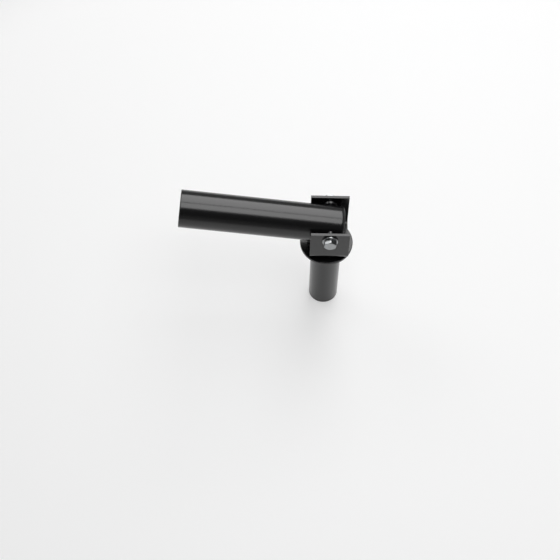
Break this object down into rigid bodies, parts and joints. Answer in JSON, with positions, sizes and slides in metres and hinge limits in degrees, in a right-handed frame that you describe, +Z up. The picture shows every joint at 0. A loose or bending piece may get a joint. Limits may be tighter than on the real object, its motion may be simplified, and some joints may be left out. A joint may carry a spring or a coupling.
{
  "type": "barbell pivot attachment",
  "caption": "Socket tube for a barbell's end that tilts between the ears of a U-shaped yoke, which swivels on a post for the bores of stacked weight plates.",
  "frame": {"origin": "on the post's axis, at the underside of the seat flange, where it rests on the plates", "axes": "+Z up the post, -X from the post towards the socket's mouth seen from above, +Y along the tilt hinge away from the bolt's head"},
  "size_m": [0.2734, 0.0934, 0.2657],
  "materials": {
    "black_coat": "semi-gloss black powder coat on steel",
    "black_plastic": "moulded satin black",
    "white_nylon": "turned natural nylon",
    "blue_nylon": "moulded nylon",
    "zinc": "bright zinc plating on steel"
  },
  "bodies": {
    "post": {"post_tube": "black_coat", "seat_flange": "black_coat", "post_weld": "black_coat", "upper_bush": "white_nylon", "lower_bush": "white_nylon", "post_foot_cap": "black_plastic"},
    "yoke": {"thrust_washer": "black_plastic", "turntable": "black_coat", "yoke": "black_coat", "yoke_weld_left": "black_coat", "yoke_weld_right": "black_coat", "spindle": "zinc", "spindle_washer": "zinc", "spindle_nut": "zinc", "spindle_nut_insert": "blue_nylon", "pivot_bolt": "zinc", "pivot_head_washer": "zinc", "pivot_nut": "zinc"},
    "sleeve": {"sleeve_tube": "black_coat", "pivot_cross_tube": "black_coat", "sleeve_end_cap": "black_plastic"}
  },
  "joints": [
    {"name": "yoke_swivel", "type": "hinge", "parent": "post", "child": "yoke", "pos_m": [0, 0, 0], "axis": [0, 0, 1], "continuous": true},
    {"name": "sleeve_tilt", "type": "hinge", "parent": "yoke", "child": "sleeve", "pos_m": [0.0035, 0, 0.06253], "axis": [0, 1, 0], "range_deg": [-22, 205]}
  ]
}
